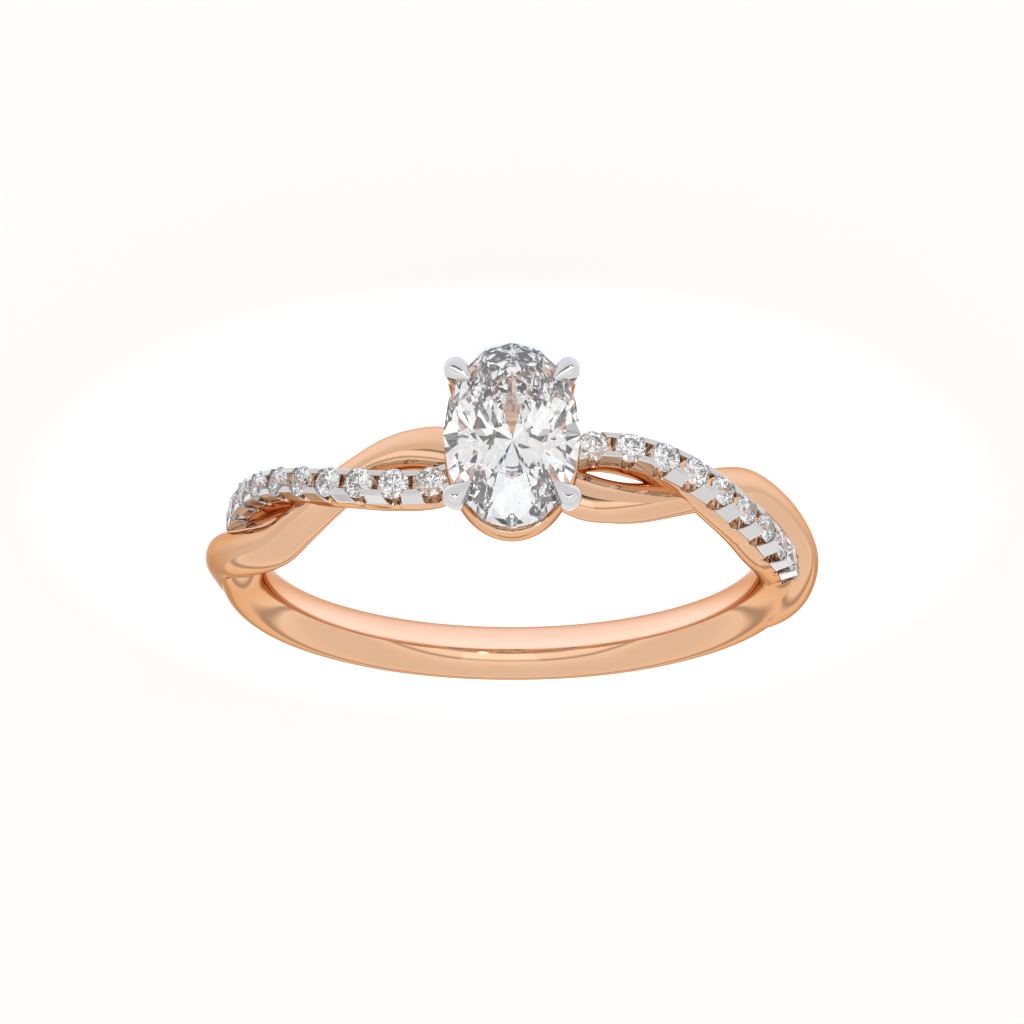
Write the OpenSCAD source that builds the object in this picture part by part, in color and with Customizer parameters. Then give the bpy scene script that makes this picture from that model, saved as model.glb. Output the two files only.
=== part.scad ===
// Twisted engagement ring with an oval brilliant, lying on its side.
// Two strands cross over and under each other round the front half of the band:
// one is plain wire, the other carries a row of small round stones between
// white-metal bars. A four-claw basket holds the oval stone over the middle.
//
// Working frame of the ring, before it is laid down:
// Y is the finger's axis, +Z runs from the finger's centre out to the oval stone,
// and an angle is counted round the band from the stone, positive towards +X.
// The ring looks the same after half a turn about Z.

/* [Band] */
// Inner diameter of the ring
inner_d = 17; // [15.5:0.1:19]
// Width of the plain back of the band
shank_w = 2; // [1.6:0.05:2.4]
// Thickness of the band where the strands join it
shank_t_side = 2; // [1.8:0.05:2.1]
// Thickness of the band opposite the stone
shank_t_back = 1.6; // [1.3:0.05:1.8]
// Width across the top of the strand that carries the small stones
pave_w = 0.86; // [0.8:0.02:1]

/* [Oval stone] */
// Length of the oval stone
oval_l = 6.5; // [6:0.1:7]
// Width of the oval stone
oval_w = 4.5; // [4.2:0.1:4.8]
// Height of the stone's girdle above the finger's centre
girdle_z = 12.15; // [12:0.05:12.6]

/* [Small stones] */
// Diameter of a small stone
small_d = 1.06; // [0.9:0.01:1.1]
// Number of small stones on each side of the head
small_count = 10; // [8:1:10]
// Angle of the first small stone from the head
small_first = 15.5; // [15:0.5:17]
// Angle of the last small stone from the head
small_last = 77.5; // [76:0.5:79]

/* [Claws] */
// Thickness of a claw where it grips the stone
claw_d = 0.84; // [0.7:0.02:0.9]
// Height of the white tip of a claw
tip_h = 0.75; // [0.6:0.05:0.9]

/* [Hidden] */

rose_gold = [0.90, 0.66, 0.51];
white_gold = [0.86, 0.86, 0.87];
diamond = [0.93, 0.95, 0.97];

inner_r = inner_d / 2;

// Columns of a strand's table: angle from the head, sideways offset on the +X side,
// radius of the section's middle, half of its width, half of its height.
// Between rows the values run on smooth curves.
ANGLE = 0;
SIDEWAYS = 1;
RADIUS = 2;
HALF_W = 3;
HALF_H = 4;

// The plain strand passes under the other at 41 degrees, swells out over the
// band's shoulder at 84 degrees and sinks into the band's side below it.
plain_rows = [
    [0, 0.00, inner_r + 0.56, 0.62, 0.50],
    [15, -0.90, inner_r + 0.54, 0.65, 0.53],
    [25, -0.88, inner_r + 0.56, 0.62, 0.53],
    [32, -0.56, inner_r + 0.58, 0.64, 0.55],
    [41, 0.00, inner_r + 0.62, 0.68, 0.59],
    [50, 0.58, inner_r + 0.66, 0.72, 0.63],
    [60, 0.98, inner_r + 0.74, 0.76, 0.70],
    [73, 0.62, inner_r + 1.10, 0.80, 0.78],
    [84, 0.02, inner_r + 1.42, 0.82, 0.80],
    [95, -0.28, inner_r + 1.40, 0.82, 0.78],
    [107, -0.30, inner_r + 1.36, 0.76, 0.70],
    [117, -0.20, inner_r + 1.18, 0.66, 0.58],
    [126, -0.10, inner_r + 1.00, 0.50, 0.42]
];

// The stone-set strand: its radius is that of its flat top, and it ends in a
// round nose on the band's side.
pave_rows = [
    [0, 0.00, inner_r + 1.40, pave_w / 2, 0.68],
    [16, 0.65, inner_r + 1.64, pave_w / 2, 0.80],
    [24, 0.62, inner_r + 1.90, pave_w / 2, 0.88],
    [32, 0.36, inner_r + 2.06, pave_w / 2, 0.88],
    [40, -0.02, inner_r + 2.06, pave_w / 2, 0.84],
    [48, -0.45, inner_r + 2.01, pave_w / 2, 0.84],
    [56, -0.75, inner_r + 1.96, pave_w / 2, 0.86],
    [64, -0.96, inner_r + 1.84, pave_w / 2, 0.84],
    [72, -0.91, inner_r + 1.73, pave_w / 2, 0.80],
    [82.5, -0.76, inner_r + 1.56, pave_w / 2, 0.74]
];

section_sides = 16;
step_deg = 3;

// A smooth curve through the rows of a table, with the slope at each row taken
// from its neighbours.
function row_slope(rows, i, col) =
    i == 0 || i == len(rows) - 1 ? 0
    : (rows[i + 1][col] - rows[i - 1][col]) / (rows[i + 1][ANGLE] - rows[i - 1][ANGLE]);
function row_before(rows, angle, i = 0) =
    i >= len(rows) - 2 || angle < rows[i + 1][ANGLE] ? i : row_before(rows, angle, i + 1);
function on_curve(rows, angle, col) =
    let (
        i = row_before(rows, angle),
        span = rows[i + 1][ANGLE] - rows[i][ANGLE],
        u = max(0, min(1, (angle - rows[i][ANGLE]) / span))
    )
    (2 * pow(u, 3) - 3 * pow(u, 2) + 1) * rows[i][col]
    + (pow(u, 3) - 2 * pow(u, 2) + u) * span * row_slope(rows, i, col)
    + (3 * pow(u, 2) - 2 * pow(u, 3)) * rows[i + 1][col]
    + (pow(u, 3) - pow(u, 2)) * span * row_slope(rows, i + 1, col);

// Half a turn about Z carries the +X side to the -X side.
function side_of(angle) = angle < 0 ? -1 : 1;
function outward(angle) = [sin(angle), 0, cos(angle)];
function strand_point(rows, angle) =
    on_curve(rows, abs(angle), RADIUS) * outward(angle)
    + [0, side_of(angle) * on_curve(rows, abs(angle), SIDEWAYS), 0];

function unit(v) = v / norm(v);
function along(rows, angle) =
    unit(strand_point(rows, angle + 0.5) - strand_point(rows, angle - 0.5));
// The strand's own sideways and upward directions, square to the way it runs.
function across(rows, angle) = unit(cross(outward(angle), along(rows, angle)));
function upward(rows, angle) = cross(along(rows, angle), across(rows, angle));

// A rounded section: an oval whose flanks are a little fuller than an ellipse's.
fullness = 2.3;
function bulged(v) = sign(v) * pow(abs(v), 2 / fullness);
function oval_section(half_w, half_h) = [
    for (i = [0:section_sides - 1])
    let (a = 360 * i / section_sides)
    [half_w * bulged(cos(a)), half_h * bulged(sin(a))]
];

// The stone-set strand's section: from the foot of the white metal its flanks run
// out a little further, down to a shoulder, and end in a round belly.
bar_h = 0.6;
foot_flare = 0.14;
belly_flare = 0.19;
belly_sides = 10;
function foot_half_w(half_w, top) = half_w + foot_flare * min(1, -top / bar_h);
function pave_section(half_w, depth, top) = concat(
    [[foot_half_w(half_w, top), top]],
    [[-foot_half_w(half_w, top), top]],
    [
        for (i = [0:belly_sides])
        let (a = 180 + 180 * i / belly_sides, shoulder = 0.55 * depth)
        [(half_w + belly_flare) * cos(a), (depth - shoulder) * sin(a) - shoulder]
    ]
);

// A solid through a list of rings, each with the same number of points.
module loft(rings) {
    n = len(rings[0]);
    last = len(rings) - 1;
    polyhedron(
        points = [for (ring = rings) each ring],
        faces = concat(
            [[for (i = [0:n - 1]) i]],
            [
                for (k = [0:last - 1], i = [0:n - 1])
                let (j = (i + 1) % n)
                each [
                    [k * n + i, (k + 1) * n + j, k * n + j],
                    [k * n + i, (k + 1) * n + i, (k + 1) * n + j]
                ]
            ],
            [[for (i = [n - 1:-1:0]) last * n + i]]
        )
    );
}

function placed(rows, angle, section) = [
    for (p = section)
    strand_point(rows, angle) + p[0] * across(rows, angle) + p[1] * upward(rows, angle)
];

// How much a strand's section shrinks towards its end, for a round nose.
nose_deg = 5;
function nose(angle, last) =
    let (left = last - abs(angle))
    left >= nose_deg ? 1 : sqrt(max(0.04, 1 - pow(1 - left / nose_deg, 2)));

// A stretch of the plain strand and one of the shank are also cut out of the
// white bars, a little larger by "grow", so that no two pieces share any room.
plain_last = plain_rows[len(plain_rows) - 1][ANGLE];
module plain_strand(low = -plain_last, high = plain_last, grow = 0) {
    loft([
        for (a = [low:step_deg:high])
        placed(plain_rows, a, oval_section(
            on_curve(plain_rows, abs(a), HALF_W) + grow,
            on_curve(plain_rows, abs(a), HALF_H) + grow
        ))
    ]);
}

// The stone-set strand without its white top. A rim as high as the white metal
// stands round each end, so the sections lie closer together there.
nose_last = small_last + 4.5;
rim_deg = 1.8;
rim_angles = [0, 0.4, 1, 1.6, rim_deg - 0.05, rim_deg, 2.6];
function nose_steps(last) = concat(
    [for (d = rim_angles) d - last],
    [for (a = [4.2 - last:step_deg:last - 4.2]) a],
    [for (k = [len(rim_angles) - 1:-1:0]) last - rim_angles[k]]
);
module pave_strand() {
    loft([
        for (a = nose_steps(nose_last))
        let (
            s = nose(a, nose_last),
            top = abs(a) > nose_last - rim_deg + 0.02 ? 0 : -bar_h,
            half_w = on_curve(pave_rows, abs(a), HALF_W),
            depth = 2 * on_curve(pave_rows, abs(a), HALF_H)
        )
        placed(pave_rows, a, [for (p = pave_section(half_w, depth, top)) [p[0] * s, p[1]]])
    ]);
}

// The plain back of the band, thinner opposite the stone and fullest on its
// shoulders. Its two ends run out thin between the strands.
// Columns: angle from the head, thickness, share of the full width.
THICKNESS = 1;
WIDTH_SHARE = 2;
shank_rows = [
    [67, 0.45 * shank_t_side, 0.40],
    [77, 0.86 * shank_t_side, 0.80],
    [86, 0.90 * shank_t_side, 1],
    [95, 0.92 * shank_t_side, 1],
    [110, 0.99 * shank_t_side, 1],
    [125, shank_t_side, 1],
    [145, 0.6 * shank_t_side + 0.4 * shank_t_back, 1],
    [180, shank_t_back, 1]
];
shank_start = shank_rows[0][ANGLE];
shank_steps = 56;
module shank(low = 0, high = shank_steps, grow = 0) {
    loft([
        for (k = [low:high])
        let (
            a = shank_start + k * (360 - 2 * shank_start) / shank_steps,
            from_head = a <= 180 ? a : 360 - a,
            half_t = on_curve(shank_rows, from_head, THICKNESS) / 2,
            half_w = on_curve(shank_rows, from_head, WIDTH_SHARE) * shank_w / 2
        )
        [
            for (p = oval_section(half_w + grow, half_t + grow))
            (inner_r + half_t + p[1]) * outward(a) + [0, p[0], 0]
        ]
    ]);
}

// Angles of the small stones, evenly spaced along the strand.
function strand_length(a, b, step = 0.5) =
    a >= b ? 0
    : norm(strand_point(pave_rows, a + step) - strand_point(pave_rows, a))
    + strand_length(a + step, b, step);
length_to_angle = [
    for (a = [small_first:0.5:small_last]) [strand_length(small_first, a), a]
];
small_pitch = strand_length(small_first, small_last) / (small_count - 1);
function small_angle(i) =
    side_of(i) * lookup((abs(i) - 1) * small_pitch, length_to_angle);

// Puts its children on top of the stone-set strand, with +Z along the stone.
module on_strand(angle, height = 0) {
    x = along(pave_rows, angle);
    y = across(pave_rows, angle);
    z = upward(pave_rows, angle);
    p = strand_point(pave_rows, angle) + height * z;
    multmatrix([
        [x[0], y[0], z[0], p[0]],
        [x[1], y[1], z[1], p[1]],
        [x[2], y[2], z[2], p[2]],
        [0, 0, 0, 1]
    ]) children();
}

// A cut stone about its girdle: a table, kite corners, a girdle and a pavilion,
// each as a ring of corners at a share of the stone's half width.
function stone_ring(half_x, half_y, share, z, n, turn) = [
    for (i = [0:n - 1])
    let (a = 360 * (i + turn) / n)
    [half_x * share * cos(a), half_y * share * sin(a), z]
];
module hull_of(points) {
    hull() polyhedron(points, [[for (i = [0:len(points) - 1]) i]]);
}
table = 0.58;
kite = 0.82;
girdle_sides = 16;
module oval_cut(half_x, half_y, crown_h, pavilion_h, girdle_h) {
    hull_of(concat(
        stone_ring(half_x, half_y, table, crown_h, 8, 0.5),
        stone_ring(half_x, half_y, kite, crown_h * 0.52, 8, 0),
        stone_ring(half_x, half_y, 1, girdle_h / 2, girdle_sides, 0),
        stone_ring(half_x, half_y, 1, -girdle_h / 2, girdle_sides, 0),
        stone_ring(half_x, half_y, 0.36, -pavilion_h * 0.66, 8, 0),
        [[0, 0, -pavilion_h]]
    ));
}

// A small stone sits with its girdle a little below the tops of the bars.
small_r = small_d / 2;
girdle_up = -0.13;
module small_stone() {
    color(diamond)
    hull_of(concat(
        stone_ring(small_r, small_r, table, 0.16 * small_d, 8, 0.5),
        stone_ring(small_r, small_r, 1, 0, girdle_sides, 0),
        [[0, 0, -0.43 * small_d]]
    ));
}

// The room that a small stone sits in: a round cut almost down to the foot of the
// white metal, and a narrow one below it for the stone's point.
seat_r = small_r + 0.03;
seat_depth = 0.44;
point_r = 0.2;
module small_seat() {
    translate([0, 0, -seat_depth]) cylinder(r = seat_r, h = 1, $fn = 16);
    translate([0, 0, -bar_h - 0.1])
    cylinder(r = point_r, h = bar_h + 0.11 - seat_depth, $fn = 8);
}

// The white-metal top of the strand: the small stones' seats cut it into bars
// that grip them from both sides, over a thin floor that ties the bars together.
bars_from = small_first - 4.4;
bars_to = nose_last - rim_deg - 0.1;
bar_gap = 0.01;
floor_h = 0.06;
middle_half_w = 0.24;
strip_steps = 30;
module pave_strip(side, top_half_w, low_half_w, top, low) {
    loft([
        for (k = [0:strip_steps])
        let (
            a = side * (bars_from + bars_to) / 2 + (k / strip_steps - 0.5) * (bars_to - bars_from),
            s = nose(a, nose_last)
        )
        placed(pave_rows, a, [
            [top_half_w * s, top],
            [-top_half_w * s, top],
            [-low_half_w * s, low],
            [low_half_w * s, low]
        ])
    ]);
}
module pave_bars(side) {
    color(white_gold)
    difference() {
        pave_strip(side, pave_w / 2, pave_w / 2 + foot_flare, 0, bar_gap - bar_h);
        pave_strip(side, middle_half_w, middle_half_w, 0.1, floor_h - bar_h);
        for (i = [1:small_count]) on_strand(small_angle(side * i)) small_seat();
        if (side > 0) {
            plain_strand(69, 84, bar_gap);
            shank(0, 5, bar_gap);
        } else {
            plain_strand(-84, -69, bar_gap);
            shank(shank_steps - 5, shank_steps, bar_gap);
        }
    }
}

crown_h = 0.64;
pavilion_h = 1.94;
oval_girdle_h = 0.1;
module oval_stone() {
    color(diamond)
    translate([0, 0, girdle_z])
    oval_cut(oval_w / 2, oval_l / 2, crown_h, pavilion_h, oval_girdle_h);
}

// A claw leans out from its foot in the strands to the stone's edge, then bends
// over the crown to a point. Its places are those of the claw on the +X, +Y side.
claw_x = 1.85;
claw_y = 2.24;
claw_top = girdle_z + 0.22;
claw_knuckle = [claw_x, claw_y, claw_top];
claw_point = [claw_x - 0.46, claw_y - 0.4, claw_top + 0.2];
claw_neck = [claw_x - 0.08, claw_y - 0.12, claw_top - 0.75];
claw_foot = [claw_x - 0.5, claw_y - 1.4, inner_r + 0.62];
post_r = 0.31;
neck_r = 0.36;
point_end_r = 0.09;
module ball(place, r, sides) {
    translate(place) sphere(r = r, $fn = sides);
}
module claw_body() {
    hull() {
        ball(claw_knuckle, claw_d / 2, 16);
        ball(claw_neck, neck_r, 16);
    }
    hull() {
        ball(claw_neck, neck_r, 16);
        ball(claw_foot, post_r, 12);
    }
    hull() {
        ball(claw_knuckle, claw_d / 2, 16);
        ball(claw_point, point_end_r, 10);
    }
}

quarters = [[1, 1], [-1, 1], [-1, -1], [1, -1]];
module in_quarter(i) {
    mirror([quarters[i][0] < 0 ? 1 : 0, 0, 0])
    mirror([0, quarters[i][1] < 0 ? 1 : 0, 0])
    children();
}

// The room that the oval stone takes out of the claws.
stone_gap = 0.02;
module stone_room() {
    translate([0, 0, girdle_z])
    oval_cut(
        oval_w / 2 + stone_gap, oval_l / 2 + stone_gap,
        crown_h, pavilion_h, oval_girdle_h + 2 * stone_gap
    );
}

// The part of a claw between two heights: its white tip or its rose-gold post.
tip_from = claw_top + claw_d / 2 - tip_h - 0.1;
post_from = inner_r + 0.3;
module claw_between(i, low, high) {
    difference() {
        intersection() {
            in_quarter(i) claw_body();
            translate([-5, -5, low]) cube([10, 10, high - low]);
        }
        stone_room();
    }
}
module claw_tip(i) {
    color(white_gold) claw_between(i, tip_from + bar_gap, claw_top + 1);
}
module claw_post(i) {
    claw_between(i, post_from, tip_from);
}

// The oval rail that ties the claws together under the stone.
rail_w = 4.45;
rail_l = 6.1;
rail_z = 10.22;
rail_h = 0.8;
rail_wall = 0.42;
rail_edge = 0.12;
rail_sides = 48;
function rail_ring(inset, z) = [
    for (i = [0:rail_sides - 1])
    let (a = 360 * i / rail_sides)
    [(rail_w / 2 - inset) * cos(a), (rail_l / 2 - inset) * sin(a), z]
];
module rail() {
    difference() {
        loft([
            rail_ring(rail_edge, rail_z),
            rail_ring(0, rail_z + rail_edge),
            rail_ring(0, rail_z + rail_h - rail_edge),
            rail_ring(rail_edge, rail_z + rail_h)
        ]);
        loft([rail_ring(rail_wall, rail_z - 0.1), rail_ring(rail_wall, rail_z + rail_h + 0.1)]);
    }
}

module band() {
    color(rose_gold)
    union() {
        difference() {
            union() {
                plain_strand();
                pave_strand();
                shank();
            }
            for (side = [-1, 1], i = [1:small_count])
            on_strand(small_angle(side * i)) small_seat();
        }
        rail();
        for (i = [0:3]) claw_post(i);
    }
}

// The ring lies on its side, on the far end of the oval stone and the back of
// the band, so it is tilted by the angle between them. It is shifted so that the
// claws and the back reach equally far from the middle.
back_r = inner_r + shank_t_back / 2;
lie_tilt = atan2(
    oval_l / 2 - shank_w / 2,
    girdle_z - oval_girdle_h / 2 + back_r
);
lie_height = back_r * sin(lie_tilt) + shank_w / 2 * cos(lie_tilt);
head_reach = claw_top * cos(lie_tilt) + claw_y * sin(lie_tilt) + claw_d / 2;
back_reach = (inner_r + shank_t_back) * cos(lie_tilt);
module lying() {
    translate([0, (head_reach - back_reach) / 2, lie_height])
    rotate([-lie_tilt, 0, 0])
    multmatrix([
        [-1, 0, 0, 0],
        [0, 0, -1, 0],
        [0, -1, 0, 0],
        [0, 0, 0, 1]
    ]) children();
}

// Small stones are numbered from the head, first those on the +X side.
function stone_place(i) = i > small_count ? small_count - i : i;

lying() band();
lying() oval_stone();
lying() pave_bars(-1);  // pave_bars_left
lying() pave_bars(1);  // pave_bars_right
for (i = [1:4])
lying() claw_tip(i - 1);
for (i = [1:2 * small_count])
lying() on_strand(small_angle(stone_place(i)), girdle_up) small_stone();
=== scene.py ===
import math

import bpy
from mathutils import Matrix, Vector


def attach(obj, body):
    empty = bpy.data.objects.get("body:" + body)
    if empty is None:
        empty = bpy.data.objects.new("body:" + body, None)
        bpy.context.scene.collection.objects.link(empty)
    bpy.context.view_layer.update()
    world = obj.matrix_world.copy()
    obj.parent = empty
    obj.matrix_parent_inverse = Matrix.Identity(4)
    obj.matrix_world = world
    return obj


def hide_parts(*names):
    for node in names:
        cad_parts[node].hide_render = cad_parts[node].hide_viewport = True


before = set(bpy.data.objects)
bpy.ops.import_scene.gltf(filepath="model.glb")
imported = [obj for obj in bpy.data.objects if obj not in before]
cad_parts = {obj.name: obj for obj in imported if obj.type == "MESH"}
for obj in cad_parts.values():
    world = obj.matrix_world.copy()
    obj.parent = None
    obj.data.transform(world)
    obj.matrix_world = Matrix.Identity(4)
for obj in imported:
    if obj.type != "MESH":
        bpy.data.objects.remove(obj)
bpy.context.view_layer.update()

bpy.ops.object.select_all(action="DESELECT")
print("frame loaded")

# The ring is shaped upright, in millimetres: Y is the finger's axis, +Z runs out to
# the oval stone, and angles are counted round the band from the stone towards +X.
# Each finished mesh is then laid on its side, as the solids are: it rests on the oval
# stone's girdle and on the edge of the band's back.
innerR = 8.5
lying = {
    "stoneHalf": 3.25,
    "stoneHeight": 12.15 - 0.05,  # of the girdle's underside
    "backHalf": 1.0,
    "backMiddle": innerR + 0.8,
    "shift": 1.456,        # brings the box's middle over the origin
    "height": 1.967,       # and its underside onto the floor
}
ringTilt = math.atan2(
    lying["stoneHalf"] - lying["backHalf"], lying["stoneHeight"] + lying["backMiddle"]
)
layDown = (
    Matrix.Scale(0.001, 4)
    @ Matrix.Translation((0, lying["shift"], lying["height"]))
    @ Matrix.Rotation(-ringTilt, 4, "X")
    @ Matrix(((-1, 0, 0, 0), (0, 0, -1, 0), (0, -1, 0, 0), (0, 0, 0, 1)))
)


def linearColour(hexCode):
    parts = [int(hexCode[k:k + 2], 16) / 255 for k in (1, 3, 5)]
    return [c / 12.92 if c <= 0.04045 else ((c + 0.055) / 1.055) ** 2.4 for c in parts] + [1.0]


def addNode(tree, kind, settings, inputs):
    node = tree.nodes.new(kind)
    for key, value in settings.items():
        setattr(node, key, value)
    for key, value in inputs.items():
        if isinstance(value, bpy.types.NodeSocket):
            tree.links.new(value, node.inputs[key])
        else:
            node.inputs[key].default_value = value
    return node


def mixTones(tree, factor, first, second):
    # 6 and 7 are the colour sockets A and B of the Mix node, and 2 is its colour result
    node = addNode(tree, "ShaderNodeMix", {"data_type": "RGBA"}, {"Factor": factor})
    node.inputs[6].default_value = linearColour(first)
    node.inputs[7].default_value = linearColour(second)
    return node.outputs[2]


def newMaterial(name):
    material = bpy.data.materials.new(name)
    material.use_nodes = True
    material.node_tree.nodes.clear()
    return material, material.node_tree


roseGold = {
    "warm": "#dfb898",
    "deep": "#d7ac8b",
    "edge": "#d8b498",     # tint at a glancing angle
    "roughness": 0.06,
    "uneven": 0.03,        # how far the roughness goes up and down
    "polishLines": 0.12,   # mm between the faint traces of the polishing wheel
    "waves": 3.0,          # mm from crest to crest of the hand-finished surface
    "waveHeight": 0.02,    # mm
}

# 14 carat rose gold, cast and polished on a wheel: a mirror with the faintest
# ripple, warmer where the metal sees itself.
polishedRoseGold, tree = newMaterial("polishedRoseGold")
place = addNode(tree, "ShaderNodeTexCoord", {}, {}).outputs["Object"]
waves = addNode(tree, "ShaderNodeTexNoise", {}, {
    "Vector": place, "Scale": 1000 / roseGold["waves"], "Detail": 2.0, "Roughness": 0.4,
})
lines = addNode(tree, "ShaderNodeTexNoise", {}, {
    "Vector": place, "Scale": 1000 / roseGold["polishLines"], "Detail": 3.0,
})
tint = mixTones(tree, waves.outputs["Fac"], roseGold["warm"], roseGold["deep"])
polish = addNode(tree, "ShaderNodeMapRange", {}, {
    "Value": lines.outputs["Fac"],
    "To Min": roseGold["roughness"] - roseGold["uneven"],
    "To Max": roseGold["roughness"] + roseGold["uneven"],
})
ripple = addNode(tree, "ShaderNodeBump", {}, {
    "Height": waves.outputs["Fac"], "Distance": roseGold["waveHeight"] / 1000, "Strength": 0.3,
})
metal = addNode(tree, "ShaderNodeBsdfPrincipled", {}, {
    "Base Color": tint, "Metallic": 1.0, "Specular Tint": linearColour(roseGold["edge"]),
    "Roughness": polish.outputs["Result"], "Normal": ripple.outputs["Normal"],
})
addNode(tree, "ShaderNodeOutputMaterial", {}, {"Surface": metal.outputs["BSDF"]})

whiteGold = {
    # bright tone, grey tone, roughness
    "polished": ("#dad9d8", "#c6c6c8", 0.04),
    "burnished": ("#d2d1d0", "#c8c8c9", 0.08),
    "polishLines": 0.1,
    "uneven": 0.4,         # share by which the roughness goes up and down
}


def newWhiteGold(name, bright, grey, softness):
    # White gold with rhodium plating: bright and neutral, a mirror where it is
    # polished on the claws and softer where it is burnished over the stones.
    material, tree = newMaterial(name)
    place = addNode(tree, "ShaderNodeTexCoord", {}, {}).outputs["Object"]
    lines = addNode(tree, "ShaderNodeTexNoise", {}, {
        "Vector": place, "Scale": 1000 / whiteGold["polishLines"], "Detail": 3.0,
    })
    tint = mixTones(tree, lines.outputs["Fac"], bright, grey)
    polish = addNode(tree, "ShaderNodeMapRange", {}, {
        "Value": lines.outputs["Fac"],
        "To Min": (1 - whiteGold["uneven"]) * softness,
        "To Max": (1 + whiteGold["uneven"]) * softness,
    })
    metal = addNode(tree, "ShaderNodeBsdfPrincipled", {}, {
        "Base Color": tint, "Metallic": 1.0, "Roughness": polish.outputs["Result"],
    })
    addNode(tree, "ShaderNodeOutputMaterial", {}, {"Surface": metal.outputs["BSDF"]})
    return material


polishedWhiteGold = newWhiteGold("polishedWhiteGold", *whiteGold["polished"])
burnishedWhiteGold = newWhiteGold("burnishedWhiteGold", *whiteGold["burnished"])

diamond = {
    "clear": "#f3f3f3",
    "faint": "#e9ecf0",
    "cloud": 0.8,          # mm across the faint changes of tone in the crystal
    "index": 2.42,
}

# Cut diamond, polished flat on each facet: colourless, with a high index that
# throws the light back.
cutDiamond, tree = newMaterial("cutDiamond")
place = addNode(tree, "ShaderNodeTexCoord", {}, {}).outputs["Object"]
cloud = addNode(tree, "ShaderNodeTexNoise", {}, {
    "Vector": place, "Scale": 1000 / diamond["cloud"], "Detail": 1.0,
})
tint = mixTones(tree, cloud.outputs["Fac"], diamond["clear"], diamond["faint"])
crystal = addNode(tree, "ShaderNodeBsdfPrincipled", {}, {
    "Base Color": tint, "Roughness": 0.0, "IOR": diamond["index"], "Transmission Weight": 1.0,
})
addNode(tree, "ShaderNodeOutputMaterial", {}, {"Surface": crystal.outputs["BSDF"]})
print("materials ready")


def smoothRow(rows, angle):
    # A table's values at an angle, on the smooth curve through its rows. Its first
    # column holds the angles.
    k = 0
    while k < len(rows) - 2 and angle >= rows[k + 1][0]:
        k += 1
    span = rows[k + 1][0] - rows[k][0]
    u = max(0.0, min(1.0, (angle - rows[k][0]) / span))

    def slope(i, column):
        if i == 0 or i == len(rows) - 1:
            return 0.0
        return (rows[i + 1][column] - rows[i - 1][column]) / (rows[i + 1][0] - rows[i - 1][0])

    values = []
    for column in range(1, len(rows[0])):
        values.append(
            (2 * u ** 3 - 3 * u ** 2 + 1) * rows[k][column]
            + (u ** 3 - 2 * u ** 2 + u) * span * slope(k, column)
            + (3 * u ** 2 - 2 * u ** 3) * rows[k + 1][column]
            + (u ** 3 - u ** 2) * span * slope(k + 1, column)
        )
    return values


def outward(angle):
    return Vector((math.sin(math.radians(angle)), 0, math.cos(math.radians(angle))))


def strandPoint(rows, angle):
    # half a turn about Z carries one side of the ring to the other
    sideways, radius = smoothRow(rows, abs(angle))[:2]
    return radius * outward(angle) + Vector((0, sideways * math.copysign(1, angle), 0))


def strandAxes(rows, angle):
    # the middle of the section, then along, across and out of the strand there
    along = (strandPoint(rows, angle + 0.5) - strandPoint(rows, angle - 0.5)).normalized()
    across = outward(angle).cross(along).normalized()
    return strandPoint(rows, angle), along, across, along.cross(across)


def bulged(value, fullness):
    # 2 gives a round section, and more a squarer one
    return math.copysign(abs(value) ** (2 / fullness), value)


def pick(pieces):
    bpy.ops.object.select_all(action="DESELECT")
    for piece in pieces:
        piece.select_set(True)
    bpy.context.view_layer.objects.active = pieces[0]


def mendNormals(piece):
    pick([piece])
    bpy.ops.object.mode_set(mode="EDIT")
    bpy.ops.mesh.select_all(action="SELECT")
    bpy.ops.mesh.normals_make_consistent(inside=False)
    bpy.ops.object.mode_set(mode="OBJECT")


def sweepPiece(name, around, rings, placeOf):
    # A sphere whose rings are moved along the piece. Its poles close the two ends.
    bpy.ops.object.select_all(action="DESELECT")
    bpy.ops.mesh.primitive_uv_sphere_add(segments=around, ring_count=rings, radius=1)
    piece = bpy.context.object
    piece.name = piece.data.name = name
    for vertex in piece.data.vertices:
        ring = round(math.acos(max(-1.0, min(1.0, vertex.co.z))) / math.pi * rings)
        corner = round(math.atan2(vertex.co.y, vertex.co.x) / (2 * math.pi) * around) % around
        vertex.co = placeOf(ring, corner)
    mendNormals(piece)
    return piece


def applyModifier(piece, kind, settings):
    pick([piece])
    modifier = piece.modifiers.new(kind.title(), kind)
    for key, value in settings.items():
        setattr(modifier, key, value)
    bpy.ops.object.modifier_apply(modifier=modifier.name)


def joinPieces(name, pieces):
    pick(pieces)
    bpy.ops.object.join()
    pieces[0].name = pieces[0].data.name = name
    return pieces[0]


def finishPiece(piece, material, nodes, smoothBelow):
    # smoothBelow: degrees between two faces up to which they shade as one, 0 for flat facets
    pick([piece])
    bpy.ops.object.transform_apply(location=True, rotation=True, scale=True)
    piece.data.transform(layDown)
    piece.data.materials.clear()
    piece.data.materials.append(material)
    if smoothBelow:
        bpy.ops.object.shade_smooth_by_angle(angle=math.radians(smoothBelow))
    else:
        bpy.ops.object.shade_flat()
    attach(piece, "root")
    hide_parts(*nodes)


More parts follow.
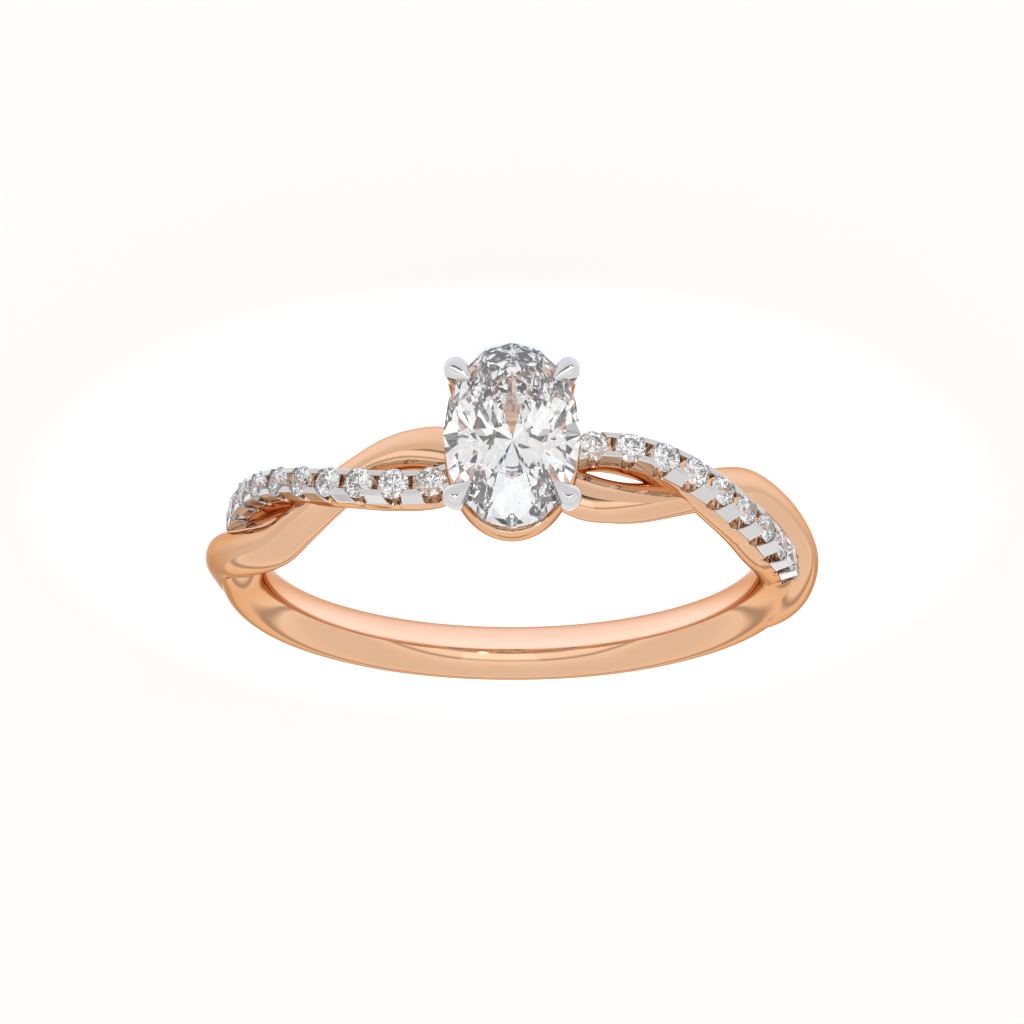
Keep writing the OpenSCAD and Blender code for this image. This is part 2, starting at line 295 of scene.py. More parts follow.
plainStrand = {
    # angle in degrees, then in mm: sideways, radius of the middle, half width, half height
    "rows": [
        [0, 0.00, innerR + 0.56, 0.62, 0.50],
        [15, -0.82, innerR + 0.57, 0.82, 0.54],
        [21, -0.92, innerR + 0.61, 0.75, 0.54],
        [27, -0.82, innerR + 0.61, 0.69, 0.54],
        [33, -0.53, innerR + 0.59, 0.65, 0.55],
        [41, 0.00, innerR + 0.62, 0.68, 0.59],
        [50, 0.58, innerR + 0.66, 0.72, 0.63],
        [60, 0.98, innerR + 0.74, 0.76, 0.70],
        [73, 0.62, innerR + 1.10, 0.80, 0.78],
        [84, 0.02, innerR + 1.42, 0.82, 0.80],
        [95, -0.28, innerR + 1.40, 0.82, 0.78],
        [107, -0.30, innerR + 1.36, 0.76, 0.70],
        [117, -0.20, innerR + 1.18, 0.66, 0.58],
        [126, -0.10, innerR + 1.00, 0.50, 0.42],
    ],
    "fullness": 2.05,
    "around": 32,
    "rings": 252,
}
plainLast = plainStrand["rows"][-1][0]
plainFrames = []
for k in range(plainStrand["rings"] + 1):
    angle = plainLast * (2 * k / plainStrand["rings"] - 1)
    values = smoothRow(plainStrand["rows"], abs(angle))
    plainFrames.append((strandAxes(plainStrand["rows"], angle), values))


def placeOnPlain(ring, corner):
    (middle, along, across, upward), values = plainFrames[ring]
    if ring in (0, plainStrand["rings"]):
        return middle
    turn = 2 * math.pi * corner / plainStrand["around"]
    return (
        middle
        + values[2] * bulged(math.cos(turn), plainStrand["fullness"]) * across
        + values[3] * bulged(math.sin(turn), plainStrand["fullness"]) * upward
    )


plain = sweepPiece("plainStrand", plainStrand["around"], plainStrand["rings"], placeOnPlain)
print("plain strand shaped")


stoneStrand = {
    # angle in degrees, then in mm: sideways, radius of the bars' tops, half width there,
    # half depth
    "rows": [
        [0, 0.00, innerR + 1.40, 0.43, 0.68],
        [16, 0.65, innerR + 1.64, 0.43, 0.80],
        [24, 0.62, innerR + 1.90, 0.43, 0.88],
        [32, 0.36, innerR + 2.06, 0.43, 0.88],
        [40, -0.02, innerR + 2.06, 0.43, 0.84],
        [48, -0.45, innerR + 2.01, 0.43, 0.84],
        [56, -0.75, innerR + 1.96, 0.43, 0.86],
        [64, -0.96, innerR + 1.84, 0.43, 0.84],
        [72, -0.91, innerR + 1.73, 0.43, 0.80],
        [82.5, -0.76, innerR + 1.56, 0.43, 0.74],
    ],
    "firstStone": 15.5,
    "lastStone": 77.5,
    "stones": 10,
    "noseLast": 82.0,
    "noseLength": 5.0,     # degrees over which the nose is rounded
    "barHeight": 0.6,
    "footFlare": 0.14,     # how much wider the flank is at the bars' feet
    "bellyFlare": 0.19,    # and at the belly
    "notchHalf": 0.27,     # half width of the U cut beside each small stone
    "notchMiddle": -0.42,  # height of the U's centre, below the bars' tops
    "rimFrom": 2.3,        # degrees from the nose where the rose-gold rim starts
    "rimStep": 0.02,       # half the degrees that the step up to the rim takes
    "rimCorner": 0.12,     # rounding of the rim's upper edges
    "stripCorner": 0.02,   # and of the strip's under the bars
    "cornerCut": 0.3,      # share of that rounding where its middle edge lies
    "shoulder": 0.55,      # share of the depth where the belly starts
    "flankEdges": (0.7, 0.35),  # shares of the way down to the shoulder
    "flankSwell": 0.05,
    "bellySteps": 12,
    "noseLift": 0.35,      # how much the nose's section closes towards its middle
    "plainFirst": 2.6,     # mm from the first stone to the nearest ring of the stretch
    "plainPitch": 0.45,    # without stones, the mm between its rings
    "plainRings": 8,       # and how many there are
    "notchRings": (1.02, 0.97, 0.9, 0.78, 0.62, 0.42, 0.2),  # shares of the U's half width
    "barRing": 0.15,       # mm from a bar's middle to the rings beside it
    "noseRings": 14,
    "clearOfMiddle": 0.4,  # degrees that the rings keep from the middle
    "clearOfRim": 0.1,     # and from the rim, so that no sliver forms
}
stoneRows = stoneStrand["rows"]

# even spacing of the stones along the strand, measured every quarter of a degree
measureStep = 0.25
stretches = int((stoneStrand["lastStone"] - stoneStrand["firstStone"]) / measureStep)
steps = [stoneStrand["firstStone"] + measureStep * k for k in range(stretches + 1)]
lengths = [0.0]
for k in range(stretches):
    stretch = strandPoint(stoneRows, steps[k + 1]) - strandPoint(stoneRows, steps[k])
    lengths.append(lengths[-1] + stretch.length)
stonePitch = lengths[-1] / (stoneStrand["stones"] - 1)


def angleAt(distance):
    # distance in mm along the strand from the first stone
    k = 0
    while k < stretches - 1 and distance > lengths[k + 1]:
        k += 1
    return steps[k] + measureStep * (distance - lengths[k]) / (lengths[k + 1] - lengths[k])


def notchWidth(height):
    # half width of the U cut at a height below the bars' tops
    drop = height - stoneStrand["notchMiddle"]
    if drop >= 0:
        return stoneStrand["notchHalf"]
    return math.sqrt(max(0.0, stoneStrand["notchHalf"] ** 2 - drop ** 2))


# rings of the strand: close together in each notch, and at the step up to the rim
distances = [
    -stoneStrand["plainFirst"] - stoneStrand["plainPitch"] * k
    for k in range(stoneStrand["plainRings"])
]
halfNotch = notchWidth(-stoneStrand["barHeight"])
for k in range(stoneStrand["stones"]):
    middle = stonePitch * k
    for share in stoneStrand["notchRings"]:
        distances += [middle - share * halfNotch, middle + share * halfNotch]
    barMiddle = middle - stonePitch / 2
    barRing = stoneStrand["barRing"]
    distances += [middle, barMiddle, barMiddle + barRing, barMiddle - barRing]
rimStart = stoneStrand["noseLast"] - stoneStrand["rimFrom"]
rimStep = stoneStrand["rimStep"]
sideAngles = sorted(
    a for a in map(angleAt, distances)
    if stoneStrand["clearOfMiddle"] < a < rimStart - stoneStrand["clearOfRim"]
)
sideAngles += [rimStart - rimStep, rimStart + rimStep]
rimLength = stoneStrand["noseLast"] - rimStart - rimStep
for k in range(1, stoneStrand["noseRings"] + 1):
    share = math.sin(math.pi / 2 * k / stoneStrand["noseRings"])
    sideAngles.append(rimStart + rimStep + rimLength * share)
ringAngles = [-a for a in reversed(sideAngles)] + [0.0] + sideAngles


def stripTop(angle):
    # the rose gold's top under the bars, with the U cuts, and the rim at the nose
    if abs(angle) > rimStart:
        return 0.0
    top = -stoneStrand["barHeight"]
    here = strandPoint(stoneRows, abs(angle))
    for stoneAngle in stoneAngles:
        off = (here - strandPoint(stoneRows, stoneAngle)).length
        if off < halfNotch:
            top = stoneStrand["notchMiddle"] - math.sqrt(stoneStrand["notchHalf"] ** 2 - off ** 2)
    return top


def noseShare(angle):
    left = (stoneStrand["noseLast"] - abs(angle)) / stoneStrand["noseLength"]
    return 1.0 if left >= 1 else math.sqrt(max(0.0, 1 - (1 - left) ** 2))


def stoneOutline(halfWidth, depth, top, rim):
    # the section's corners in order: top from right to left, left flank, belly, right flank
    def flank(height):
        return halfWidth + stoneStrand["footFlare"] * min(1.0, -height / stoneStrand["barHeight"])

    corner = stoneStrand["rimCorner"] if rim else stoneStrand["stripCorner"]
    shoulder = -stoneStrand["shoulder"] * depth
    lid = [
        (flank(top) - corner, top), (0.5 * flank(top), top), (0.0, top),
        (-0.5 * flank(top), top), (-flank(top) + corner, top),
    ]
    flanks = []
    for share in stoneStrand["flankEdges"]:
        height = top - corner + share * (shoulder - top + corner)
        flanks.append((flank(height) + stoneStrand["flankSwell"] * share, height))
    cut = stoneStrand["cornerCut"] * corner
    flanks += [(flank(top - corner), top - corner), (flank(top) - cut, top - cut)]
    belly = []
    bellyHalf = halfWidth + stoneStrand["bellyFlare"]
    for k in range(stoneStrand["bellySteps"] + 1):
        turn = math.pi + math.pi * k / stoneStrand["bellySteps"]
        belly.append((bellyHalf * math.cos(turn), shoulder + (depth + shoulder) * math.sin(turn)))
    return lid + [(-x, y) for x, y in reversed(flanks)] + belly + flanks


stoneAngles = [angleAt(stonePitch * k) for k in range(stoneStrand["stones"])]
stoneFrames = []
for angle in ringAngles:
    values = smoothRow(stoneRows, abs(angle))
    rim = abs(angle) > rimStart
    outline = stoneOutline(values[2], 2 * values[3], stripTop(angle), rim)
    middleHeight = -values[3]
    if rim:
        share = noseShare(angle)
        lift = stoneStrand["noseLift"] * (1 - share)
        outline = [(x * share, y + (middleHeight - y) * lift) for x, y in outline]
    stoneFrames.append((strandAxes(stoneRows, angle), outline, middleHeight))


def placeOnStoneStrand(ring, corner):
    (middle, along, across, upward), outline, middleHeight = stoneFrames[ring]
    if ring in (0, len(stoneFrames) - 1):
        return middle + middleHeight * upward
    x, y = outline[corner]
    return middle + x * across + y * upward


corners = len(stoneFrames[0][1])
strand = sweepPiece("stoneStrand", corners, len(stoneFrames) - 1, placeOnStoneStrand)
print("stone-set strand shaped, pitch", round(stonePitch, 3), "rings", len(stoneFrames))


backBand = {
    # angle in degrees, thickness in mm, share of the width
    "rows": [
        [44, 0.40, 0.20], [52, 0.55, 0.36], [60, 0.75, 0.48], [67, 1.00, 0.52],
        [77, 1.72, 0.80], [86, 1.80, 1], [95, 1.84, 1], [110, 1.98, 1],
        [125, 2.0, 1], [145, 1.84, 1], [180, 1.6, 1],
    ],
    "width": 2.0,
    "outerFullness": 2.1,
    "innerFullness": 2.0,
    "around": 40,
    "rings": 220,
}


def placeOnBack(ring, corner):
    first = backBand["rows"][0][0]
    angle = first + ring * (360 - 2 * first) / backBand["rings"]
    thickness, share = smoothRow(backBand["rows"], min(angle, 360 - angle))
    middle = (innerR + thickness / 2) * outward(angle)
    if ring in (0, backBand["rings"]):
        return middle
    turn = 2 * math.pi * corner / backBand["around"]
    fullness = backBand["outerFullness"] if math.sin(turn) > 0 else backBand["innerFullness"]
    return (
        middle
        + Vector((0, share * backBand["width"] / 2 * bulged(math.cos(turn), fullness), 0))
        + thickness / 2 * bulged(math.sin(turn), fullness) * outward(angle)
    )


back = sweepPiece("backOfBand", backBand["around"], backBand["rings"], placeOnBack)
print("back of the band shaped")


basket = {
    "railWidth": 4.45,
    "railLength": 6.1,
    "railBottom": 10.22,
    "railHeight": 0.8,
    "railWall": 0.42,
    "railFullness": 4.0,
    "torusRadius": 2.0,    # the plain torus that the oval rail is shaped from
    "torusWall": 0.5,
    "around": 120,
    "across": 20,
}
bpy.ops.object.select_all(action="DESELECT")
bpy.ops.mesh.primitive_torus_add(
    major_segments=basket["around"], minor_segments=basket["across"],
    major_radius=basket["torusRadius"], minor_radius=basket["torusWall"],
)
rail = bpy.context.object
for vertex in rail.data.vertices:
    spot = vertex.co.copy()
    turn = math.atan2(spot.y, spot.x)
    out = (math.hypot(spot.x, spot.y) - basket["torusRadius"]) / basket["torusWall"]
    up = spot.z / basket["torusWall"]
    length = math.hypot(out, up)
    out = bulged(out / length, basket["railFullness"])
    up = bulged(up / length, basket["railFullness"])
    inset = basket["railWall"] / 2 * (1 - out)
    vertex.co = (
        (basket["railWidth"] / 2 - inset) * math.cos(turn),
        (basket["railLength"] / 2 - inset) * math.sin(turn),
        basket["railBottom"] + basket["railHeight"] / 2 * (1 + up),
    )
mendNormals(rail)

# One claw's middle line and radii; the others are its mirror images.
claw = {
    "foot": Vector((1.35, 0.84, 9.12)),
    "neck": Vector((1.77, 2.12, 11.62)),
    "knuckle": Vector((1.85, 2.24, 12.37)),
    "point": Vector((1.36, 1.81, 12.57)),
    "postRadius": 0.31,
    "neckRadius": 0.36,
    "knuckleRadius": 0.42,
    "postTopRadius": 0.385,
    "pointRadius": 0.06,
    "pointTaper": 1.35,    # over 1 keeps the tip full before it narrows
    "whiteFrom": 0.43,     # share of the way from neck to knuckle where white gold starts
    "postAround": 20,
    "postRings": 24,
    "tipAround": 24,
    "riseRings": 8,        # of the tip: up to the knuckle,
    "turnRings": 12,       # round it,
    "pointRings": 13,      # and on to the point
}
clawSplit = claw["neck"] + (claw["knuckle"] - claw["neck"]) * claw["whiteFrom"]
quarters = [(1, 1), (-1, 1), (-1, -1), (1, -1)]


def ringAround(middle, direction, radius, turn):
    first = direction.cross(Vector((0, 1, 0))).normalized()
    second = direction.cross(first)
    return middle + radius * (math.cos(turn) * first + math.sin(turn) * second)


def postPlace(quarter):
    lean = (claw["neck"] - claw["foot"]).normalized()

    def placeOf(ring, corner):
        share = max(0.0, min(1.0, (ring - 1) / (claw["postRings"] - 2)))
        spot = claw["foot"].lerp(clawSplit, share)
        radius = claw["postRadius"] + (claw["neckRadius"] - claw["postRadius"]) * share ** 2
        if ring in (0, claw["postRings"]):
            radius = 0.0
        spot = ringAround(spot, lean, radius, 2 * math.pi * corner / claw["postAround"])
        return Vector((spot.x * quarter[0], spot.y * quarter[1], spot.z))
    return placeOf


posts = [
    sweepPiece("clawPost", claw["postAround"], claw["postRings"], postPlace(q)) for q in quarters
]
band = joinPieces("roseGoldBand", [plain, strand, back, rail] + posts)
finishPiece(band, polishedRoseGold, ["band"], smoothBelow=38)
print("rose-gold band joined")


ovalStone = {
    "width": 4.5,
    "length": 6.5,
    "girdleHeight": 12.15,
    "crown": 0.64,
    "pavilion": 2.08,
    "table": 0.56,
    "lowerReach": 0.25,    # how near the culet the lower facets' corners come
    "girdle": 0.1,         # thickness over the half width
    "clawGap": 0.02,
}


flatWithin = math.radians(0.2)


def ringOfCorners(share, height, count, turn):
    angles = [2 * math.pi * (k + turn) / count for k in range(count)]
    return [(share * math.cos(a), share * math.sin(a), height) for a in angles]


def brilliantCorners(table, crown, pavilion, girdle, lowerReach):
    # corners of a round brilliant of radius 1: table, kites, girdle, lower facets, culet
    kites = 8
    shrink = math.cos(math.pi / kites)
    between = (table + 0.5 * (1 - table)) / shrink
    betweenHeight = crown - (between * shrink - table) * crown / (1 - table)
    return (
        ringOfCorners(table, crown, kites, 0)
        + ringOfCorners(between, betweenHeight, kites, 0.5)
        + ringOfCorners(1, girdle / 2, 2 * kites, 0)
        + ringOfCorners(1, -girdle / 2, 2 * kites, 0)
        + ringOfCorners(lowerReach / shrink, -pavilion * (1 - lowerReach), kites, 0.5)
        + [(0, 0, -pavilion)]
    )


def cutStone(name, corners, halfWidth, halfLength):
    # the sphere's own corners make way for the stone's, which the facets then close
    bpy.ops.object.select_all(action="DESELECT")
    bpy.ops.mesh.primitive_uv_sphere_add(segments=8, ring_count=6, radius=1)
    piece = bpy.context.object
    piece.name = piece.data.name = name
    bpy.ops.object.mode_set(mode="EDIT")
    bpy.ops.mesh.select_all(action="SELECT")
    bpy.ops.mesh.delete(type="VERT")
    bpy.ops.object.mode_set(mode="OBJECT")
    piece.data.vertices.add(len(corners))
    for vertex, corner in zip(piece.data.vertices, corners):
        vertex.co = (corner[0] * halfWidth, corner[1] * halfLength, corner[2])
    bpy.ops.object.mode_set(mode="EDIT")
    bpy.ops.mesh.select_all(action="SELECT")
    bpy.ops.mesh.convex_hull()
    bpy.ops.mesh.select_all(action="SELECT")
    bpy.ops.mesh.dissolve_limited(angle_limit=flatWithin)
    bpy.ops.mesh.select_all(action="SELECT")
    bpy.ops.mesh.normals_make_consistent(inside=False)
    bpy.ops.object.mode_set(mode="OBJECT")
    return piece


ovalCorners = brilliantCorners(
    ovalStone["table"], ovalStone["crown"], ovalStone["pavilion"],
    ovalStone["girdle"], ovalStone["lowerReach"],
)


def ovalShape(name, grow):
    shape = cutStone(
        name, ovalCorners, ovalStone["width"] / 2 + grow, ovalStone["length"] / 2 + grow
    )
    shape.data.transform(Matrix.Translation((0, 0, ovalStone["girdleHeight"])))
    return shape


oval = ovalShape("ovalStone", 0)
stoneRoom = ovalShape("stoneRoom", ovalStone["clawGap"])
finishPiece(oval, cutDiamond, ["oval_stone"], smoothBelow=0)
print("oval stone cut")


pointFrom = claw["riseRings"] + claw["turnRings"]
tipRings = pointFrom + claw["pointRings"] + 1


def tipPlace(quarter):
    # up from the post, round the knuckle over the stone's edge, and out to the point
    rise = (claw["knuckle"] - claw["neck"]).normalized()
    reach = claw["point"] - claw["knuckle"]
    lean = reach.normalized()
    swell = claw["knuckleRadius"] - claw["postTopRadius"]
    taper = claw["knuckleRadius"] - claw["pointRadius"]

    def placeOf(ring, corner):
        if ring <= claw["riseRings"]:
            share = max(0, ring - 1) / (claw["riseRings"] - 1)
            spot, ahead = clawSplit.lerp(claw["knuckle"], share), rise
            radius = claw["postTopRadius"] + swell * math.sin(share * math.pi / 2)
        elif ring <= pointFrom:
            spot = claw["knuckle"]
            ahead = rise.slerp(lean, (ring - claw["riseRings"]) / claw["turnRings"])
            radius = claw["knuckleRadius"]
        else:
            share = min(1.0, (ring - pointFrom) / claw["pointRings"])
            spot, ahead = claw["knuckle"] + share * reach, lean
            radius = taper * (1 - share ** claw["pointTaper"]) + claw["pointRadius"]
        if ring in (0, tipRings):
            radius = 0.0
        turn = 2 * math.pi * corner / claw["tipAround"]
        spot = ringAround(spot, ahead.normalized(), radius, turn)
        return Vector((spot.x * quarter[0], spot.y * quarter[1], spot.z))
    return placeOf


for number, quarter in enumerate(quarters, 1):
    tip = sweepPiece(f"clawTip{number}", claw["tipAround"], tipRings, tipPlace(quarter))
    applyModifier(tip, "BOOLEAN", {
        "operation": "DIFFERENCE", "object": stoneRoom, "solver": "EXACT", "use_self": True,
    })
    tipNode = f"claw_tip_{number}"
    finishPiece(tip, polishedWhiteGold, [tipNode], smoothBelow=45)
bpy.data.objects.remove(stoneRoom)
print("claw tips shaped")


smallStone = {
    "radius": 0.53,
    "crown": 0.17,
    "pavilion": 0.45,
    "table": 0.57,
    "lowerReach": 0.2,
    "girdle": 0.02,        # thickness over the radius
    "sink": 0.13,          # how far the girdle lies below the bars' tops
    "turn": 0.4,           # radians that each stone is turned on from the last
}
bar = {
    "innerHalf": 0.24,     # mm from the strand's middle to the bar's inner flank
    "outerHalf": 0.43,     # and to its outer one at the top
    "seat": 0.545,         # radius of the round seat that holds the stone
    "overhang": 0.50,      # and of its narrower top, which is burnished over the stone
    "overhangTo": -0.12,
    "height": 0.59,
    "cuts": 7,
    "bevel": 0.035,
    "bevelAngle": 50,
}


def ontoStrand(angle, height):
    spot, along, across, upward = strandAxes(stoneRows, angle)
    matrix = Matrix((along, across, upward)).transposed().to_4x4()
    matrix.translation = spot + height * upward
    return matrix


smallCorners = brilliantCorners(
    smallStone["table"], smallStone["crown"], smallStone["pavilion"],
    smallStone["girdle"], smallStone["lowerReach"],
)
firstSmall = cutStone("smallStone", smallCorners, smallStone["radius"], smallStone["radius"])
for side, first in ((1, 1), (-1, stoneStrand["stones"] + 1)):
    for k in range(stoneStrand["stones"]):
        stone = firstSmall.copy()
        stone.data = firstSmall.data.copy()
        stone.name = stone.data.name = f"smallStone{first + k}"
        bpy.context.collection.objects.link(stone)
        stone.data.transform(
            ontoStrand(side * stoneAngles[k], -smallStone["sink"])
            @ Matrix.Rotation(smallStone["turn"] * k, 4, "Z")
        )
        stoneNode = f"small_stone_{first + k}"
        finishPiece(stone, cutDiamond, [stoneNode], smoothBelow=0)
bpy.data.objects.remove(firstSmall)
print("small stones set")

bpy.ops.object.select_all(action="DESELECT")
bpy.ops.mesh.primitive_cube_add(size=2)
firstBar = bpy.context.object
bpy.ops.object.mode_set(mode="EDIT")
bpy.ops.mesh.select_all(action="SELECT")
bpy.ops.mesh.subdivide(number_cuts=bar["cuts"])
bpy.ops.object.mode_set(mode="OBJECT")
for vertex in firstBar.data.vertices:
    height = -bar["height"] * (1 - vertex.co.z) / 2
    outer = bar["outerHalf"] + stoneStrand["footFlare"] * -height / stoneStrand["barHeight"]
    across = bar["innerHalf"] + (outer - bar["innerHalf"]) * (vertex.co.y + 1) / 2
    seat = bar["seat"] if height < bar["overhangTo"] else bar["overhang"]
    clear = max(notchWidth(height), math.sqrt(max(0.0, seat ** 2 - across ** 2)))
    vertex.co = (vertex.co.x * (stonePitch / 2 - clear), across, height)
applyModifier(firstBar, "BEVEL", {
    "width": bar["bevel"], "segments": 2,
    "limit_method": "ANGLE", "angle_limit": math.radians(bar["bevelAngle"]),
})
mendNormals(firstBar)
barRows = ((-1, "whiteBarsLeft", "pave_bars_left"), (1, "whiteBarsRight", "pave_bars_right"))
for side, name, node in barRows:
    copies = []
    for k in range(stoneStrand["stones"]):
        for flank in (1, -1):
            block = firstBar.copy()
            block.data = firstBar.data.copy()
            bpy.context.collection.objects.link(block)
            block.data.transform(
                ontoStrand(side * angleAt(stonePitch * (k - 0.5)), 0)
                @ (Matrix.Rotation(math.pi, 4, "Z") if flank < 0 else Matrix())
            )
            copies.append(block)
    bars = joinPieces(name, copies)
    finishPiece(bars, burnishedWhiteGold, [node], smoothBelow=40)
bpy.data.objects.remove(firstBar)
print("white bars set")


studio = {
    "floor": "#d6d6d6",
    "fibre": 0.4,          # mm across the paper's fibres
    "width": 3,            # m
    "glowMiddle": 1.4,     # painted pool of light glowing from the paper, brightest under the ring
    "glowAround": 0.24,
    "glowFrom": 5.0,       # mm from the spot's middle
    "glowTo": 18.0,
    "glowAt": 1.5,         # mm from the ring's middle, away from the camera
    "paintedGlowTone": "#c8dcff",  # cool tint of the painted glow, so the gold that mirrors it looks pale
}
paintedStoneWedges = {
    "count": 7,            # painted dark wedges, fanned out all round
    "share": 0.25,         # of the way round that they take up
    "dark": 0.97,
    "eye": (0.0, -0.0125, 0.003),  # m, by the oval stone: they fan out from here on the paper
}


def mathNode(tree, operation, *values):
    node = addNode(tree, "ShaderNodeMath", {"operation": operation}, dict(enumerate(values)))
    return node.outputs[0]


def paintedWedgeShade(tree, across, upward):
    # Painted shade: the share of the light left in a direction outside dark wedges that
    # are painted into the room and onto the paper. Only light that has passed through a
    # stone meets them, so they paint single facets dark and stay out of the metal's reflections.
    spot = addNode(tree, "ShaderNodeCombineXYZ", {}, {"X": across, "Y": upward})
    around = addNode(tree, "ShaderNodeTexGradient", {"gradient_type": "RADIAL"}, {
        "Vector": spot.outputs["Vector"],
    })
    turns = mathNode(tree, "MULTIPLY", around.outputs["Fac"], float(paintedStoneWedges["count"]))
    inside = mathNode(tree, "LESS_THAN", mathNode(tree, "FRACT", turns), paintedStoneWedges["share"])
    rays = addNode(tree, "ShaderNodeLightPath", {}, {})
    seen = mathNode(tree, "MULTIPLY", inside, rays.outputs["Is Transmission Ray"])
    return mathNode(tree, "MULTIPLY_ADD", seen, -paintedStoneWedges["dark"], 1.0)


# White paper that glows: faintly all over, and as a painted pool of light under the ring that
# lifts the ring's shade off the paper.
paperWithPaintedGlow, tree = newMaterial("paperWithPaintedGlow")
place = addNode(tree, "ShaderNodeTexCoord", {}, {}).outputs["Object"]
fibres = addNode(tree, "ShaderNodeTexNoise", {}, {
    "Vector": place, "Scale": 1000 / studio["fibre"], "Detail": 2.0,
})
roughness = addNode(tree, "ShaderNodeMapRange", {}, {
    "Value": fibres.outputs["Fac"], "To Min": 0.85, "To Max": 0.95,
})
distance = addNode(tree, "ShaderNodeVectorMath", {"operation": "DISTANCE"}, {
    0: place, 1: (0, studio["glowAt"] / 1000, 0),
})
# painted pool of light: the paper's glow is strongest under the ring and fades outwards
paintedLightPool = addNode(tree, "ShaderNodeMapRange", {"interpolation_type": "SMOOTHSTEP"}, {
    "Value": distance.outputs["Value"],
    "From Min": studio["glowFrom"] / 1000, "From Max": studio["glowTo"] / 1000,
    "To Min": 1.0, "To Max": 0.0,
})
glow = addNode(tree, "ShaderNodeMapRange", {}, {
    "Value": paintedLightPool.outputs["Result"],
    "To Min": studio["glowAround"], "To Max": studio["glowMiddle"],
})
paintedGlowTone = mixTones(tree, paintedLightPool.outputs["Result"], "#ffffff", studio["paintedGlowTone"])
offset = addNode(tree, "ShaderNodeVectorMath", {"operation": "SUBTRACT"}, {
    0: place, 1: paintedStoneWedges["eye"],
})
offsets = addNode(tree, "ShaderNodeSeparateXYZ", {}, {"Vector": offset.outputs["Vector"]})
# painted shade: dark wedges on the paper, seen only through the cut stones
bright = paintedWedgeShade(tree, offsets.outputs["X"], offsets.outputs["Z"])
paper = addNode(tree, "ShaderNodeBsdfPrincipled", {}, {
    "Base Color": mixTones(tree, bright, "#000000", studio["floor"]),
    "Roughness": roughness.outputs["Result"], "Specular IOR Level": 0.0,
    "Emission Color": paintedGlowTone,
    "Emission Strength": mathNode(tree, "MULTIPLY", glow.outputs["Result"], bright),
})
addNode(tree, "ShaderNodeOutputMaterial", {}, {"Surface": paper.outputs["BSDF"]})
bpy.ops.object.select_all(action="DESELECT")
bpy.ops.mesh.primitive_plane_add(size=studio["width"])
floor = bpy.context.object
floor.name = "paperFloor"
floor.data.materials.append(paperWithPaintedGlow)

room = {
    # how high over the horizon, colour
    "levels": [
        (0.0, "#242428"), (0.1, "#35353a"), (0.19, "#a4a4a6"), (0.3, "#fbfbfa"),
        (0.55, "#f8f7f6"), (0.62, "#b4b3b2"), (0.66, "#b4b3b2"),
        (0.74, "#f2f1f0"), (0.9, "#e6e4e2"), (0.99, "#e0dedd"),
    ],
    "strength": 1.45,
    "sideLift": 0.9,       # how far the room's bright part comes down at the two ends
    "sidePower": 3.2,      # more keeps that nearer the ends
    "farLift": 0.3,        # how far it comes down on the far side
}

# A bright room whose light comes down at the two ends and on the far side. A dark
# strip low behind the camera draws the dark lines of the polished metal, and a faint
# grey one high up its fine lines. Painted dark wedges, seen only through the cut stones, paint
# shade into their facets.
world = bpy.data.worlds.new("studioRoom")
bpy.context.scene.world = world
world.use_nodes = True
tree = world.node_tree
tree.nodes.clear()
direction = addNode(tree, "ShaderNodeTexCoord", {}, {}).outputs["Generated"]
parts = addNode(tree, "ShaderNodeSeparateXYZ", {}, {"Vector": direction})
farSide = mathNode(tree, "MAXIMUM", parts.outputs["Y"], 0.0)
ends = mathNode(tree, "POWER", mathNode(tree, "ABSOLUTE", parts.outputs["X"]), room["sidePower"])
farRise = mathNode(tree, "MULTIPLY_ADD", farSide, room["farLift"], parts.outputs["Z"])
rise = mathNode(tree, "MULTIPLY_ADD", ends, room["sideLift"], farRise)
ceiling = addNode(tree, "ShaderNodeValToRGB", {}, {"Fac": rise})
ramp = ceiling.color_ramp
for k, (height, shade) in enumerate(room["levels"]):
    element = ramp.elements[0] if k == 0 else ramp.elements.new(height)
    element.position = height
    element.color = linearColour(shade)
ramp.elements.remove(ramp.elements[-1])    # the ramp's own last one
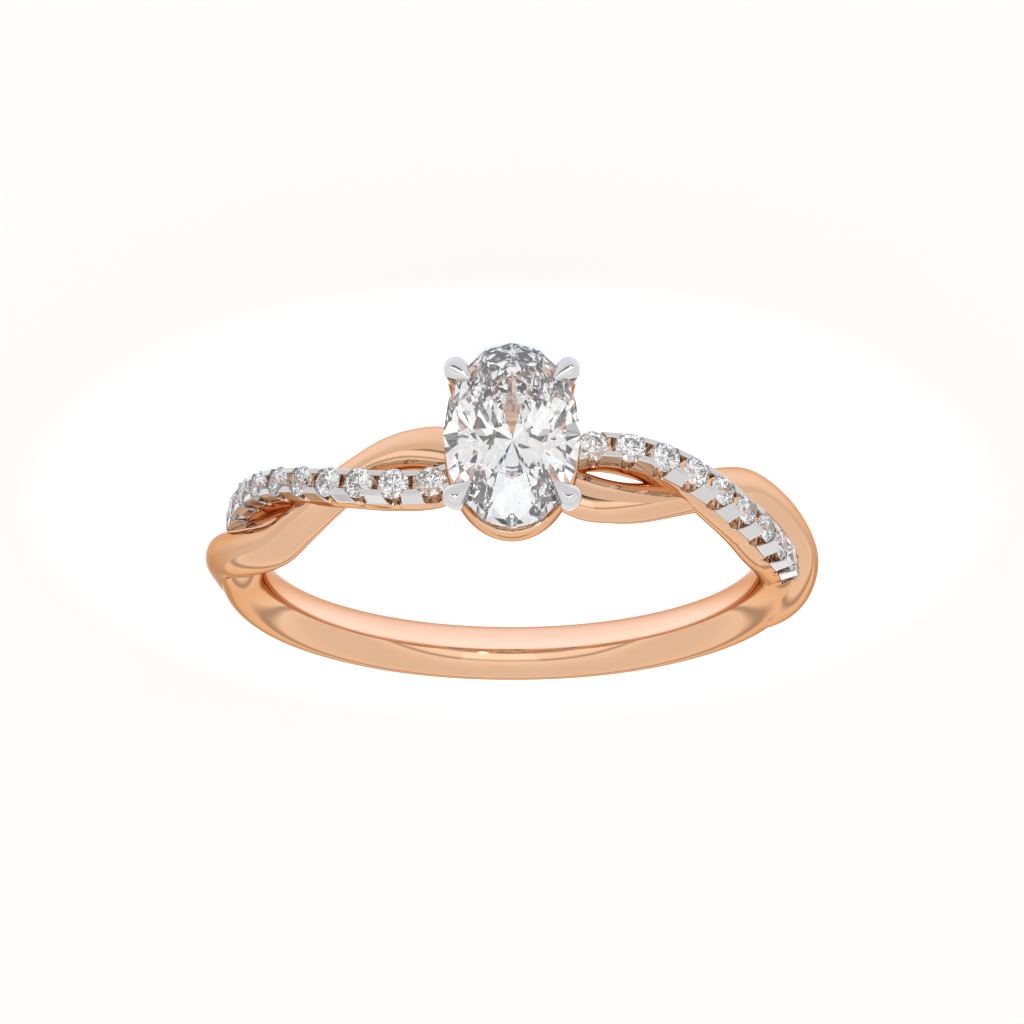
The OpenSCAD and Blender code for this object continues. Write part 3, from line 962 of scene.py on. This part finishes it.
# painted shade: dark wedges in the room, seen only through the cut stones
bright = paintedWedgeShade(tree, parts.outputs["X"], parts.outputs["Z"])
background = addNode(tree, "ShaderNodeBackground", {}, {
    "Color": ceiling.outputs["Color"],
    "Strength": mathNode(tree, "MULTIPLY", bright, room["strength"]),
})
addNode(tree, "ShaderNodeOutputWorld", {}, {"Surface": background.outputs["Background"]})


def addLight(name, energy, size, place):
    bpy.ops.object.light_add(type="AREA", location=place)
    light = bpy.context.object
    light.name = name
    light.data.energy = energy
    light.data.size = size
    light.rotation_euler = (-Vector(place)).to_track_quat("-Z", "Y").to_euler()


lights = {
    # watts, width in m, place
    "lamp": (0.1, 0.03, (-0.115, -0.47, 0.09)),
    "panel": (0.07, 0.3, (-0.05, -0.43, 0.25)),
}
for name, (energy, size, place) in lights.items():
    addLight(name, energy, size, place)

view = {
    "away": 162.0,         # mm from the finger's centre
    "tipped": 20.47,       # degrees from the stone's axis towards the upper side
    "aim": 1.87,           # mm up the picture from there, so the ring sits as in the photo
    "lens": 162.4,
    "sensor": 36,
    "nearest": 0.005,      # m
    "furthest": 20,
}
tipped = math.radians(view["tipped"])
toCamera = Vector((0, -math.sin(tipped), math.cos(tipped)))
imageUp = Vector((0, math.cos(tipped), math.sin(tipped)))
spot = layDown @ (toCamera * view["away"])
target = layDown @ (imageUp * view["aim"])
rotation = layDown.to_3x3().normalized()
forward = (target - spot).normalized()
right = forward.cross(rotation @ imageUp).normalized()
up = right.cross(forward)
cameraData = bpy.data.cameras.new("camera")
cameraData.lens = view["lens"]
cameraData.sensor_width = view["sensor"]
cameraData.clip_start = view["nearest"]
cameraData.clip_end = view["furthest"]
camera = bpy.data.objects.new("camera", cameraData)
bpy.context.collection.objects.link(camera)
matrix = Matrix((right, up, -forward)).transposed().to_4x4()
matrix.translation = spot
camera.matrix_world = matrix
bpy.context.scene.camera = camera
bpy.context.scene.view_settings.view_transform = "Standard"
# light turns many times inside a cut stone
bpy.context.scene.cycles.max_bounces = 24
bpy.context.scene.cycles.glossy_bounces = 10
bpy.context.scene.cycles.transmission_bounces = 24
print("studio ready")
